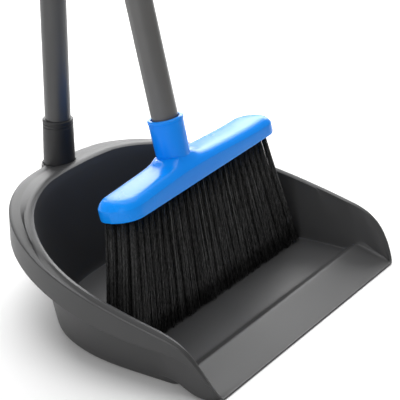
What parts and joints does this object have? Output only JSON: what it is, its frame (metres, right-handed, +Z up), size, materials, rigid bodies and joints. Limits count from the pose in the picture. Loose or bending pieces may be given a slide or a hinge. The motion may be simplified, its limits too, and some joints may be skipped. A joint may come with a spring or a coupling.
{
  "type": "dust pan and brush set",
  "caption": "Long-handled dust pan with an upright handle and a storage clip, and a broom with a swept head and flared bristles that stands in the pan and lifts out of it.",
  "frame": {"origin": "on the ground under the middle of the pan, on the face it rests on", "axes": "+X across the pan, -Y out over the lip, +Z up along the pan's handle"},
  "size_m": [0.304, 0.2967, 0.8367],
  "materials": {
    "pan_plastic": "moulded, soft satin sheen, dark grey",
    "sleeve_plastic": "moulded, satin, near black",
    "tube_paint": "smooth paint, grey",
    "broom_tube_paint": "smooth paint, warm grey",
    "grip_rubber": "soft matt",
    "clip_plastic": "fine matt",
    "head_plastic": "moulded, satin gloss, bright blue",
    "bristles": "straight black filaments",
    "steel": "plain zinc plated"
  },
  "bodies": {
    "pan": {"pan_body": "pan_plastic", "pan_sleeve": "sleeve_plastic", "pan_tube": "tube_paint", "pan_tube_plug": "clip_plastic", "pan_plug_rivets": "steel", "pan_grip": "grip_rubber", "pan_hang_cap": "clip_plastic", "storage_clip": "clip_plastic", "clip_screw": "steel"},
    "broom": {"broom_head": "head_plastic", "broom_tube": "broom_tube_paint", "broom_thread_plug": "clip_plastic", "broom_plug_rivets": "steel", "broom_grip": "grip_rubber", "broom_hang_cap": "clip_plastic", "bristle_row_1": "bristles", "bristle_row_2": "bristles", "bristle_row_3": "bristles", "bristle_row_4": "bristles", "bristle_row_5": "bristles"}
  },
  "joints": [
    {"name": "broom_lift", "type": "slide", "parent": "pan", "child": "broom", "axis": [-0.0228, -0.7749, 0.6316], "range_m": [0, 0.45]}
  ]
}
